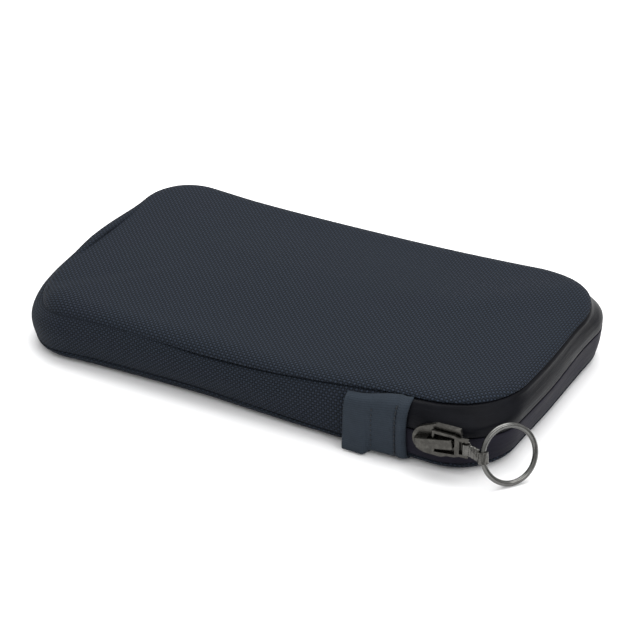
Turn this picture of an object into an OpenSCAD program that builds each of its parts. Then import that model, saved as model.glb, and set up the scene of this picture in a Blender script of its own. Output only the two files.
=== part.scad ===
// Zipped travel document organizer: a soft, box-sided pouch of woven fabric with a coated
// zip round one short end. +X points to the zip end, +Y to the far long side, +Z up.
// The origin is the centre of the flat base.

/* [Body] */
// Length of the pouch
body_l = 220; // [200:1:270]
// Width of the pouch
body_w = 127; // [122:1:165]
// Height of the filled pouch
body_h = 28; // [27:1:34]
// Corner radius at the closed short end
back_corner_r = 26; // [12:1:34]
// Corner radius at the zip end
zip_corner_r = 26; // [20:1:28]
// Height of the rim that the base panel turns up to its seam
base_rim_h = 3.5; // [3.4:0.1:4.5]
// Depth of the rim that the lid panel turns down to its seam
lid_rim_h = 3; // [3:0.1:4]
// How far the lid's edge stands back from the zip end
lid_setback = 2; // [1:0.5:6]
// Corner radius of the lid at the zip end
lid_corner_r = 36; // [30:1:40]

/* [Cloth] */
// Thickness of the woven shell fabric
shell_t = 1; // [0.8:0.1:1.2]
// Thickness of the coated zip tape
tape_t = 0.8; // [0.6:0.1:1]
// Thickness of the foam sheets
foam_t = 2; // [1.5:0.1:2.2]
// Thickness of the lining
lining_t = 0.6; // [0.4:0.1:0.7]
// Thickness of the tape that binds the seams inside
binding_t = 1; // [0.8:0.1:1.2]
// Width of the tape that binds the seams inside
binding_w = 1.8; // [1.4:0.1:2]

/* [Zip] */
// How far the zip reaches along each long side from the zip end
zip_side_l = 34; // [32:1:60]
// Height of the zip line above the middle of the side wall
zip_rise = 0.95; // [-0.6:0.05:1.2]
// Gap between the two tape edges
zip_gap = 1; // [0.9:0.1:1.2]
// Width of one coil half
coil_w = 4; // [3:0.1:5]
// Thickness of the coil behind the tape
coil_t = 2.6; // [2:0.1:2.8]
// Distance from one coil turn to the next
coil_pitch = 2.5; // [2.2:0.1:4]

/* [Slider] */
// Length of the slider's outer plate
slider_l = 20.2; // [19:0.1:21]
// Length of the slider's inner plate, which has to clear the coil round the corner
slider_inner_l = 17; // [14:0.1:18]
// How far round the corner the slider is parked, in degrees
slider_turn = 6; // [5:1:20]
// Tilt of the slider in the plane of the tape, in degrees
slider_tilt = 9; // [0:1:10]
// Width of the slider across the tape
slider_w = 14.2; // [12:0.1:15]
// Thickness of each slider plate
plate_t = 1.6; // [1.2:0.1:2]
// Width of the crown
crown_w = 4; // [3.4:0.1:4.4]
// Height of the crown over the outer plate
crown_h = 3; // [2.9:0.1:4]

/* [Puller] */
// Distance between the two cross bars of the puller
pull_l = 13.2; // [13:0.1:20]
// Width of the puller at its eye round the crown
pull_w = 10.4; // [10:0.1:12]
// Thickness of the puller
pull_t = 1.2; // [1:0.1:1.6]
// Diameter of the puller's round cross bars
pull_bar_d = 1.5; // [1.2:0.1:1.8]
// Length of the link between its two eyes
link_l = 6.8; // [6.2:0.1:9]
// Width of the link
link_w = 4.5; // [4:0.1:5]
// Thickness of the link's sheet metal
link_t = 0.7; // [0.5:0.1:0.9]
// Turn of the link from the puller towards the pouch at rest, in degrees
link_turn = -2; // [-10:1:10]

/* [Ring] */
// Inside diameter of the pull ring
ring_inner_d = 20.2; // [16:0.1:25]
// Diameter of the ring's wire
ring_wire_d = 2.15; // [1.8:0.05:2.4]
// Turn of the ring's plane from the puller, in degrees
ring_turn = 47; // [40:1:52]
// Lean of the ring towards the pouch, in degrees
ring_lean = 20; // [5:1:24]

/* [Tabs] */
// Length of the folded tab that carries the label
label_tab_l = 28; // [20:1:40]
// Length of the label's free end, which hangs below the seam
label_end_l = 10; // [6:1:14]
// Length of the folded tab on the far side
plain_tab_l = 22; // [16:1:30]
// Thickness of the tab's webbing
tab_t = 0.9; // [0.7:0.1:1]
// Number of stitches across each tab
tab_stitches = 9; // [5:1:12]

/* [Pockets] */
// Length of the slip pocket for tickets
document_pocket_l = 160; // [120:1:165]
// Width of the slip pocket for tickets
document_pocket_w = 108; // [100:1:112]
// Length of the passport pocket
passport_pocket_l = 105; // [90:1:118]
// Width of the passport pocket
passport_pocket_w = 92; // [90:1:98]
// Gap inside a slip pocket
pocket_gap = 1; // [0.5:0.1:1.4]
// Length of the shortest card slot
card_slot_l = 33; // [28:1:40]
// Step from one card slot to the next
card_step = 12; // [9:1:14]

/* [Hidden] */
$fn = 64;

// Small gaps: between bodies that move apart, beside a filling, and between a skin and its lining.
move_gap = 0.3;
fill_gap = 0.1;
thin = 0.01;
core_t = 0.8;

// Heights of the seams and of the zip line.
base_seam_z = base_rim_h;
lid_seam_z = body_h - lid_rim_h;
zip_z = (base_seam_z + lid_seam_z) / 2 + zip_rise;
lean_z = zip_z + zip_gap / 2 + coil_w + fill_gap;
lean_band = 0.2;
cut_past = 0.5;
base_floor_z = shell_t + foam_t + lining_t;
lid_foam_z = body_h - shell_t - foam_t;
lid_lining_z = lid_foam_z - lining_t;
wall_lining_inset = shell_t + lining_t;
binding_inset = wall_lining_inset + fill_gap;

// Where the lid folds, and how far a cutting block reaches past the pouch.
fold_x = body_l / 2 - zip_side_l;
half_w = body_w / 2;
reach = body_l + body_w;

// Centre of the near corner at the zip end. The slider turns about it as it leaves its park.
corner_x = body_l / 2 - zip_corner_r;
corner_y = half_w - zip_corner_r;

// The slider is drawn at the start of that corner and then turned about the corner's centre to
// where it is parked. Its inner plate clears the coil right round the corner.
plate_gap = 0.7;
neck_t = 0.5;
neck_l = 2;
slider_x = corner_x - 0.45 * slider_l;
outer_plate_y = half_w + plate_gap;
crown_y = outer_plate_y + plate_t;
coil_inner_r = zip_corner_r - tape_t - coil_t;
inner_face_y = corner_y + sqrt(pow(coil_inner_r - move_gap, 2) - pow(slider_inner_l / 2, 2));
crown_start = 1.8;
crown_end = slider_l - 3.2;
crown_round = 1.1;

// The puller's bar passes through a window in the crown.
pivot_x = slider_x + 8.9;
pull_y = crown_y + pull_bar_d / 2 + 0.3;
pull_end_x = pivot_x + pull_l;
window_l = 4;
window_h = pull_bar_d + 0.6;
arm_w = 1.1;
link_clear = 0.6;
mid_bar_l = 1.8;
mid_bar_x = slider_x + crown_end + 0.6;
fork_past = 0.9;

// The link turns on the puller's end bar and holds the ring in its second eye.
bar_clear = 0.2;
ring_r = (ring_inner_d + ring_wire_d) / 2;
eye_clear = 0.4;
ring_up = 6;
floor_gap = 0.2;
ring_eye_x = pull_end_x + link_l * cos(link_turn);
ring_eye_y = -pull_y + link_l * sin(link_turn);
ring_eye_z = floor_gap + ring_wire_d / 2 + ring_r * cos(ring_lean) * (1 + sin(ring_up));

// The tabs.
tab_fold_gap = 0.5;
tab_depth = 2 * tab_t + tab_fold_gap;
stitch_line = 3.6;
stitch_l = 1.7;
stitch_d = 0.5;
label_hang_z = 0.8;

// The pockets lie on the lining of the base.
pocket_back_x = -body_l / 2 + 10;
pocket_hem = 3;
card_sheet_t = 0.5;
document_top_z = base_floor_z + pocket_gap + lining_t;
passport_top_z = document_top_z + pocket_gap + lining_t;

// ---- Outlines ----

// Rounded slab seen from above, drawn in by inset. Its zip end is at front_x.
module slab_plan(front_x, front_r, inset) {
    back_x = -body_l / 2;
    union() {
        for (side = [-1, 1]) {
            translate([back_x + back_corner_r, side * (half_w - back_corner_r)])
                circle(back_corner_r - inset);
            translate([front_x - front_r, side * (half_w - front_r)]) circle(front_r - inset);
        }
        translate([back_x + inset, -half_w + back_corner_r])
            square([back_corner_r, body_w - 2 * back_corner_r]);
        translate([front_x - front_r, -half_w + front_r])
            square([front_r - inset, body_w - 2 * front_r]);
        translate([back_x + back_corner_r, -half_w + inset])
            square([front_x - front_r - back_x - back_corner_r, body_w - 2 * inset]);
    }
}

// Plan of the side wall, and plan of the lid, which stands back from the wall at the zip end.
module wall_plan(inset = 0) {
    slab_plan(body_l / 2, zip_corner_r, inset);
}
module lid_plan(inset = 0) {
    slab_plan(body_l / 2 - lid_setback, lid_corner_r, inset);
}

// Everything behind the fold line, or everything in front of it.
module behind_fold(gap = 0) {
    translate([fold_x - gap - reach, -reach / 2, -reach / 2]) cube(reach);
}
module before_fold(gap = 0) {
    translate([fold_x + gap, -reach / 2, -reach / 2]) cube(reach);
}

// A wall of thickness t on the plan, from inset inwards.
module wall_ring(inset, t) {
    difference() {
        wall_plan(inset);
        wall_plan(inset + t);
    }
}

// Stands a flat shape up on the near long side: its own y is up from the zip line,
// and it grows outwards from distance y from the middle of the pouch.
module on_near_side(y) {
    translate([0, -y, zip_z]) rotate([90, 0, 0]) children();
}

// ---- Base ----

module bottom_panel() {
    color("#2c333d") difference() {
        linear_extrude(base_seam_z) wall_plan();
        translate([0, 0, shell_t]) linear_extrude(base_seam_z) wall_plan(shell_t);
    }
}

module bottom_foam() {
    color("#3a3d42") translate([0, 0, shell_t]) linear_extrude(foam_t) wall_plan(shell_t + fill_gap);
}

module bottom_lining() {
    color("#4b5563") translate([0, 0, shell_t + foam_t]) linear_extrude(lining_t)
        wall_plan(wall_lining_inset + fill_gap);
}

// ---- Side wall ----

module gusset() {
    color("#2c333d") intersection() {
        translate([0, 0, base_seam_z]) linear_extrude(lid_seam_z - base_seam_z) wall_ring(0, shell_t);
        behind_fold(move_gap);
    }
}

module gusset_lining() {
    color("#4b5563") intersection() {
        translate([0, 0, base_floor_z]) linear_extrude(lid_lining_z - base_floor_z)
            wall_ring(shell_t, lining_t);
        behind_fold(move_gap);
    }
}

// ---- Lid ----

module lid_panel() {
    color("#2c333d") difference() {
        translate([0, 0, lid_seam_z]) linear_extrude(lid_rim_h) lid_plan();
        translate([0, 0, lid_seam_z - shell_t]) linear_extrude(lid_rim_h) lid_plan(shell_t);
    }
}

module lid_foam() {
    color("#3a3d42") translate([0, 0, lid_foam_z]) linear_extrude(foam_t) lid_plan(shell_t + fill_gap);
}

module lid_lining() {
    color("#4b5563") translate([0, 0, lid_lining_z]) linear_extrude(lining_t)
        lid_plan(wall_lining_inset + fill_gap);
}

module lid_panel_back() {
    intersection() {
        lid_panel();
        behind_fold();
    }
}

module lid_foam_back() {
    intersection() {
        lid_foam();
        behind_fold();
    }
}

module lid_lining_back() {
    intersection() {
        lid_lining();
        behind_fold();
    }
}

module lid_panel_flap() {
    intersection() {
        lid_panel();
        before_fold(move_gap);
    }
}

module lid_foam_flap() {
    intersection() {
        lid_foam();
        before_fold(move_gap);
    }
}

module lid_lining_flap() {
    intersection() {
        lid_lining();
        before_fold(move_gap);
    }
}

// ---- Seam bindings ----

module base_seam_binding() {
    color("#1c1f24") translate([0, 0, base_floor_z]) linear_extrude(binding_w)
        wall_ring(binding_inset, binding_t);
}

module lid_seam_binding() {
    color("#1c1f24") translate([0, 0, lid_lining_z - binding_w]) linear_extrude(binding_w) difference() {
        lid_plan(binding_inset);
        lid_plan(binding_inset + binding_t);
    }
}

module lid_seam_binding_back() {
    intersection() {
        lid_seam_binding();
        behind_fold();
    }
}

module lid_seam_binding_flap() {
    intersection() {
        lid_seam_binding();
        before_fold(move_gap);
    }
}

// ---- Zip ----

module zip_tape_lower() {
    color("#191b20") intersection() {
        translate([0, 0, base_seam_z]) linear_extrude(zip_z - zip_gap / 2 - base_seam_z)
            wall_ring(0, tape_t);
        before_fold(-move_gap);
    }
}

// The upper half stands as high as its coil, and then leans in to the lid's edge. past makes
// the solid longer at both ends.
module upper_tape_solid(inset, past) {
    low_z = zip_z + zip_gap / 2 - past;
    hull() {
        translate([0, 0, low_z]) linear_extrude(lean_z - low_z) wall_plan(inset);
        translate([0, 0, lid_seam_z - lean_band + past]) linear_extrude(lean_band) lid_plan(inset);
    }
}

module zip_tape_upper() {
    color("#191b20") intersection() {
        difference() {
            upper_tape_solid(0, 0);
            upper_tape_solid(tape_t, cut_past);
        }
        before_fold(move_gap);
    }
}

// One turn of the coil, a short post behind the tape. Its y is inwards from the wall's face.
module coil_turn(low_z) {
    translate([0, tape_t + coil_t / 2, low_z]) cylinder(d = coil_t - 2 * fill_gap, h = coil_w, $fn = 16);
}

// A coil half round the zip end, from low_z up: its turns on the flat cord that runs through them.
module coil_half(low_z) {
    side_l = zip_side_l - zip_corner_r - coil_t;
    side_n = max(1, floor(side_l / coil_pitch));
    corner_n = floor((zip_corner_r - tape_t - coil_t / 2) * PI / 2 / coil_pitch);
    end_l = body_w - 2 * zip_corner_r;
    end_n = floor(end_l / coil_pitch);
    for (k = [0:side_n - 1]) {
        translate([corner_x - (k + 0.5) * side_l / side_n, -half_w]) coil_turn(low_z);
        translate([corner_x - (k + 0.5) * side_l / side_n, half_w]) rotate(180) coil_turn(low_z);
    }
    for (k = [0:corner_n - 1]) {
        turn = 90 * (k + 0.5) / corner_n;
        translate([corner_x, -corner_y]) rotate(turn) translate([0, -zip_corner_r]) coil_turn(low_z);
        translate([corner_x, corner_y]) rotate(90 + turn) translate([0, -zip_corner_r]) coil_turn(low_z);
    }
    for (k = [0:end_n - 1])
        translate([body_l / 2, -corner_y + (k + 0.5) * end_l / end_n]) rotate(90) coil_turn(low_z);
    intersection() {
        translate([0, 0, low_z + fill_gap]) linear_extrude(coil_w - 2 * fill_gap)
            wall_ring(tape_t + coil_t / 2 - core_t / 2, core_t);
        before_fold(coil_t + move_gap);
    }
}

module zip_coil_lower() {
    color("#0f1013") coil_half(zip_z - zip_gap / 2 - coil_w);
}

module zip_coil_upper() {
    color("#0f1013") coil_half(zip_z + zip_gap / 2);
}

// A crimped block that ends the lower coil on one side of the pouch.
module zip_stop(side) {
    block = [coil_t - 2 * fill_gap, coil_t - fill_gap, coil_w];
    color("#6b6d70")
        translate([fold_x + move_gap, side * (half_w - tape_t - fill_gap - block.y / 2) - block.y / 2,
            zip_z - zip_gap / 2 - coil_w])
            cube(block);
}

module zip_stop_near() {
    zip_stop(-1);
}

module zip_stop_far() {
    zip_stop(1);
}

// ---- Tabs over the zip ends ----

// Webbing folded back on itself at the fold line, seen from above the near side: two layers
// joined by a half-round fold, from z = low to z = high.
module folded_webbing(length, low, high) {
    fold_r = tab_depth / 2;
    translate([fold_x - fold_r, -half_w - fold_r, low]) linear_extrude(high - low) {
        difference() {
            union() {
                translate([-length + fold_r, -fold_r]) square([length - fold_r, tab_depth]);
                circle(fold_r, $fn = 32);
            }
            translate([-length, -tab_fold_gap / 2]) square([length, tab_fold_gap]);
            circle(d = tab_fold_gap, $fn = 32);
        }
    }
}

module label_tab() {
    color("#39404a") union() {
        folded_webbing(label_tab_l - label_end_l, base_seam_z - 0.5, lid_seam_z - 0.2);
        // The label's free end is one layer that hangs past the seam.
        translate([fold_x - label_tab_l, -half_w - tab_depth, label_hang_z])
            cube([label_end_l, tab_t, lid_seam_z - 0.2 - label_hang_z]);
    }
}

module plain_tab() {
    color("#39404a") mirror([0, 1, 0])
        folded_webbing(plain_tab_l, base_seam_z - 0.5, lid_seam_z - 0.2);
}

// A row of stitches up a tab, beside its fold.
module stitch_row() {
    span = lid_seam_z - base_seam_z - 2;
    step = span / tab_stitches;
    color("#20252d") for (k = [0:tab_stitches - 1])
        translate([fold_x - stitch_line, -half_w - tab_depth - stitch_d / 2,
            base_seam_z + 1 + (k + 0.5) * step])
            cube([stitch_d, stitch_d, min(stitch_l, step * 0.8)], center = true);
}

module label_tab_stitches() {
    stitch_row();
}

module plain_tab_stitches() {
    mirror([0, 1, 0]) stitch_row();
}

// ---- Pockets ----

// A slip pocket open towards the zip end: a sheet on a hem along its other three sides.
module slip_pocket(back_x, length, width, low_z) {
    translate([back_x, -width / 2, low_z]) difference() {
        cube([length, width, pocket_gap + lining_t]);
        translate([pocket_hem, pocket_hem, -1]) cube([length, width - 2 * pocket_hem, pocket_gap + 1]);
    }
}

module document_pocket() {
    color("#56606e") slip_pocket(pocket_back_x, document_pocket_l, document_pocket_w, base_floor_z);
}

module passport_pocket() {
    color("#4b5563")
        slip_pocket(pocket_back_x + pocket_hem, passport_pocket_l, passport_pocket_w, document_top_z);
}

// A card slot is one sheet on the passport pocket. Each is longer than the one on top of it.
module card_slot(number) {
    color("#56606e")
        translate([pocket_back_x + pocket_hem, -passport_pocket_w / 2,
            passport_top_z + (3 - number) * card_sheet_t])
            cube([card_slot_l + (number - 1) * card_step, passport_pocket_w, card_sheet_t]);
}

module card_slot_1() {
    card_slot(1);
}

module card_slot_2() {
    card_slot(2);
}

module card_slot_3() {
    card_slot(3);
}

// ---- Slider ----

// Shield shape of a slider plate, from its round nose at x = 0 to its tail.
module slider_plan(length, inset = 0) {
    nose_r = slider_w * 0.42;
    shoulder_r = 2.5;
    tail_w = slider_w * 0.72;
    hull() {
        translate([nose_r, 0]) circle(nose_r - inset, $fn = 48);
        for (side = [-1, 1])
            translate([slider_l * 0.52, side * (slider_w / 2 - shoulder_r)])
                circle(shoulder_r - inset, $fn = 32);
        translate([length - 1, -tail_w / 2 + inset]) square([1, tail_w - 2 * inset]);
    }
}

// Turns a piece drawn at the start of the corner to where the slider is parked.
module parked() {
    translate([corner_x, -corner_y, 0]) rotate(slider_turn) translate([-corner_x, corner_y, 0]) children();
}

// The same, with the slider's tilt in the plane of the tape.
module parked_and_tilted() {
    parked() translate([corner_x, 0, zip_z]) rotate([0, -slider_tilt, 0])
        translate([-corner_x, 0, -zip_z]) children();
}

module slider_body() {
    inner_plate_y = inner_face_y - plate_t;
    color("#5d5c58") parked_and_tilted() union() {
        translate([slider_x, 0, 0]) on_near_side(outer_plate_y) linear_extrude(plate_t)
            slider_plan(slider_l);
        translate([corner_x - slider_inner_l / 2, 0, 0]) on_near_side(inner_plate_y)
            linear_extrude(plate_t) slider_plan(slider_inner_l, 0.5);
        // The neck joins the plates between the two tape edges.
        translate([corner_x - neck_l / 2, 0, 0]) on_near_side(inner_face_y - thin)
            linear_extrude(outer_plate_y - inner_face_y + 2 * thin)
            translate([0, -neck_t / 2]) square([neck_l, neck_t]);
    }
}

// Side view of the crown, a bar with rounded shoulders. Its low y is on the outer plate.
module crown_plan() {
    union() {
        translate([crown_start, 0]) square([crown_end - crown_start, crown_h - crown_round]);
        translate([crown_start + crown_round, 0])
            square([crown_end - crown_start - 2 * crown_round, crown_h]);
        for (x = [crown_start + crown_round, crown_end - crown_round])
            translate([x, crown_h - crown_round]) circle(crown_round, $fn = 32);
    }
}

// Room for the lock spring under the crown, and the spring's own thickness.
spring_room = [4, 0.8, 2.4];
spring_t = 0.4;
spring_x = 11.6;

module slider_crown() {
    color("#5d5c58") parked_and_tilted() difference() {
        translate([slider_x, -crown_y, zip_z - crown_w / 2]) mirror([0, 1, 0])
            linear_extrude(crown_w) crown_plan();
        translate([pivot_x - window_l / 2, -crown_y - window_h, zip_z - crown_w])
            cube([window_l, window_h + thin, 2 * crown_w]);
        translate([slider_x + spring_x, -crown_y - spring_room.y, zip_z - spring_room.z / 2])
            cube([spring_room.x, spring_room.y + thin, spring_room.z]);
    }
}

module slider_lock_spring() {
    color("#8d8f92") parked_and_tilted()
        translate([slider_x + spring_x + fill_gap, -crown_y - spring_t, zip_z - spring_room.z / 2 + fill_gap])
            cube([spring_room.x - 2 * fill_gap, spring_t, spring_room.z - 2 * fill_gap]);
}

// ---- Puller, link and ring ----

// Flat shape of the puller: an eye round the crown, a middle bar, and a fork whose prongs reach
// past the bar that holds the link.
module puller_plan() {
    fork_w = link_w + 2 * link_clear;
    eye_w = pull_w - 2 * arm_w;
    waist_w = pull_w - 1;
    prong_x = pull_end_x + fork_past;
    fork_x = mid_bar_x + mid_bar_l;
    difference() {
        polygon([
            [pivot_x, -pull_w / 2], [mid_bar_x, -waist_w / 2], [fork_x, -fork_w / 2 - arm_w],
            [prong_x, -fork_w / 2 - arm_w], [prong_x, fork_w / 2 + arm_w],
            [fork_x, fork_w / 2 + arm_w], [mid_bar_x, waist_w / 2], [pivot_x, pull_w / 2]
        ]);
        polygon([
            [pivot_x - 1, -eye_w / 2], [mid_bar_x, -waist_w / 2 + arm_w],
            [mid_bar_x, waist_w / 2 - arm_w], [pivot_x - 1, eye_w / 2]
        ]);
        translate([fork_x, -fork_w / 2]) square([pull_l, fork_w]);
    }
}

module puller() {
    end_bar_l = link_w + 2 * link_clear + 2 * arm_w;
    color("#55544f") parked() union() {
        on_near_side(pull_y - pull_t / 2) linear_extrude(pull_t) puller_plan();
        translate([pivot_x, -pull_y, zip_z]) cylinder(d = pull_bar_d, h = pull_w, center = true);
        translate([pull_end_x, -pull_y, zip_z]) cylinder(d = pull_bar_d, h = end_bar_l, center = true);
    }
}

// The frame of the ring's eye in the link: z runs along the wire there.
module at_ring_eye() {
    translate([ring_eye_x, ring_eye_y, ring_eye_z]) rotate([0, 0, ring_turn])
        rotate([-ring_lean, 0, 0]) children();
}

module ring_eye_rod(d, h) {
    at_ring_eye() rotate([0, ring_up, 0]) cylinder(d = d, h = h, center = true);
}

module puller_link() {
    bar_hole = pull_bar_d + 2 * bar_clear;
    wire_hole = ring_wire_d + 2 * eye_clear;
    web_t = 2 * link_t;
    color("#77766f") parked() difference() {
        union() {
            translate([pull_end_x, -pull_y, zip_z])
                cylinder(d = bar_hole + 2 * link_t, h = link_w, center = true);
            ring_eye_rod(wire_hole + 2 * link_t, link_w);
            hull() {
                translate([pull_end_x, -pull_y, zip_z]) cylinder(d = web_t, h = link_w, center = true, $fn = 16);
                at_ring_eye() rotate([0, ring_up, 0]) cylinder(d = web_t, h = link_w, center = true, $fn = 16);
            }
        }
        translate([pull_end_x, -pull_y, zip_z]) cylinder(d = bar_hole, h = 3 * link_w, center = true);
        ring_eye_rod(wire_hole, 3 * link_w);
    }
}

module pull_ring() {
    color("#8a8a86") parked() at_ring_eye()
        translate([ring_r * cos(ring_up), 0, -ring_r * sin(ring_up)]) rotate([90, 0, 0])
            rotate_extrude($fn = 96) translate([ring_r, 0]) circle(d = ring_wire_d, $fn = 32);
}

bottom_panel();
bottom_foam();
bottom_lining();
gusset();
gusset_lining();
lid_panel_back();
lid_foam_back();
lid_lining_back();
lid_panel_flap();
lid_foam_flap();
lid_lining_flap();
base_seam_binding();
lid_seam_binding_back();
lid_seam_binding_flap();
zip_tape_lower();
zip_tape_upper();
zip_coil_lower();
zip_coil_upper();
zip_stop_near();
zip_stop_far();
label_tab();
plain_tab();
label_tab_stitches();
plain_tab_stitches();
document_pocket();
passport_pocket();
card_slot_1();
card_slot_2();
card_slot_3();
slider_body();
slider_crown();
slider_lock_spring();
puller();
puller_link();
pull_ring();
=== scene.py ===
"""Soft, detailed looks for the travel document organizer: cloth, coated zip, ribbon tabs and metal."""
import math
from collections import namedtuple

import bmesh
import bpy
import numpy as np
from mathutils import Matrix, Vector, noise


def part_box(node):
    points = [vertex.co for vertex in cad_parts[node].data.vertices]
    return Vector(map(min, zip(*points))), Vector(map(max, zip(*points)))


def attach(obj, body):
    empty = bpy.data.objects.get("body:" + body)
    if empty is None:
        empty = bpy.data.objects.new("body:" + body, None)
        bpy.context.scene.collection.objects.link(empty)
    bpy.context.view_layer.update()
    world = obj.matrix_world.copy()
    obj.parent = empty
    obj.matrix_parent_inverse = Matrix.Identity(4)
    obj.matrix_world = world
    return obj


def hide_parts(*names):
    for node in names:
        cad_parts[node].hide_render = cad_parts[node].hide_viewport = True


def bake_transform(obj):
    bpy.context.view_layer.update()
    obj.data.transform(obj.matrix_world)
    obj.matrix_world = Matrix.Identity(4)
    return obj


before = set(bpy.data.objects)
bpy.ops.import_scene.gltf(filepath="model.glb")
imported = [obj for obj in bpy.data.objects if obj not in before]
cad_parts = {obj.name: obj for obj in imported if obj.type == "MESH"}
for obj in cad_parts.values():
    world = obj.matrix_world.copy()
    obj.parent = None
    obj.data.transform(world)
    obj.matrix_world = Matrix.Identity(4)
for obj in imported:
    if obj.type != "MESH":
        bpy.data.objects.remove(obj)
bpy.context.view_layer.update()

MM = 0.001

# ---- Sizes from the frame ----

BASE_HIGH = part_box("bottom_panel")[1]
FLAP_LOW, FLAP_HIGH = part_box("lid_panel_flap")
LOWER_TAPE_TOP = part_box("zip_tape_lower")[1].z
UPPER_TAPE_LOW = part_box("zip_tape_upper")[0].z

HALF_L, HALF_W = BASE_HIGH.x, BASE_HIGH.y
FOLD_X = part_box("lid_panel_back")[1].x
# The tape starts a little behind the fold, under the tabs.
TAPE_X = FOLD_X - 3.2 * MM
LID_X = FLAP_HIGH.x
BASE_SEAM = BASE_HIGH.z
LID_SEAM = FLAP_LOW.z
TOP = FLAP_HIGH.z
SLIT = (LOWER_TAPE_TOP + UPPER_TAPE_LOW) / 2

# Corner radii of the plan, and thicknesses of the cloths.
BACK_R = 26 * MM
ZIP_R = 26 * MM
LID_R = 36 * MM
CLOTH = 1.0 * MM
TAPE = 0.8 * MM
LINING_T = 0.5 * MM

# How many points go round the zip end and round the rest of the pouch.
N_FRONT = 170
N_BACK = 250
N_ALL = N_FRONT + N_BACK


# ---- Small helpers ----

def smooth(a, b, x):
    """0 below a, 1 above b, and a smooth rise between them."""
    t = np.clip((x - a) / (b - a), 0, 1)
    return t * t * (3 - 2 * t)


def curve(x, xs, ys):
    """A smooth curve through the points (xs, ys), whose slope at each comes from its neighbours."""
    slope = np.gradient(ys, xs)
    k = np.clip(np.searchsorted(xs, x) - 1, 0, len(xs) - 2)
    step = xs[k + 1] - xs[k]
    t = np.clip((x - xs[k]) / step, 0, 1)
    level = ys[k] + (ys[k + 1] - ys[k]) * t * t * (3 - 2 * t)
    return level + step * (slope[k] * t * (1 - t) ** 2 - slope[k + 1] * t * t * (1 - t))


def ripple(points, scale, seed):
    """Smooth noise from -1 to 1 at the points, with features of about that size."""
    shift = Vector((seed * 7.31, seed * 3.17, seed * 1.73))
    return np.array([noise.noise(Vector(p) / scale + shift) for p in points])


# ---- Outline of the pouch ----

def dense_outline(front_x, front_r):
    """Closed plan outline, counter-clockwise from the near corner at the zip end: points and normals."""
    points, normals = [], []
    front, back = front_x - front_r, BACK_R - HALF_L
    corners = ((front, front_r - HALF_W, front_r, -90), (front, HALF_W - front_r, front_r, 0),
               (back, HALF_W - BACK_R, BACK_R, 90), (back, BACK_R - HALF_W, BACK_R, 180))
    for x, y, r, start in corners:
        for angle in np.radians(np.linspace(start, start + 90, 60)):
            normals.append((math.cos(angle), math.sin(angle)))
            points.append((x + r * math.cos(angle), y + r * math.sin(angle)))
    return np.array(points + points[:1]), np.array(normals + normals[:1])


def outline(front_x, front_r):
    """The outline in N_FRONT points round the zip end, from one end of the tape to the other, and N_BACK
    round the rest: the points, their outward normals and their distances along it."""
    points, normals = dense_outline(front_x, front_r)
    s = np.concatenate([[0], np.cumsum(np.hypot(*np.diff(points, axis=0).T))])
    total = s[-1]
    near_edge_end = front_x - front_r
    if TAPE_X < near_edge_end:
        near = TAPE_X - near_edge_end
    else:
        near = np.interp(TAPE_X, points[:30, 0], s[:30])
    far = (s[59] + s[60]) - near
    along = np.concatenate([np.linspace(near, far, N_FRONT, endpoint=False),
                            np.linspace(far, near + total, N_BACK, endpoint=False)])

    def sample(values):
        return np.column_stack([np.interp(along % total, s, values[:, k]) for k in range(2)])

    out = sample(normals)
    return sample(points), out / np.linalg.norm(out, axis=1)[:, None], along


WALL, WALL_OUT, ALONG = outline(HALF_L, ZIP_R)
LID, LID_OUT, _ = outline(LID_X, LID_R)
ROUND = np.sum(np.linalg.norm(np.roll(WALL, -1, axis=0) - WALL, axis=1))

# ---- Soft section of the pouch ----

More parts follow.
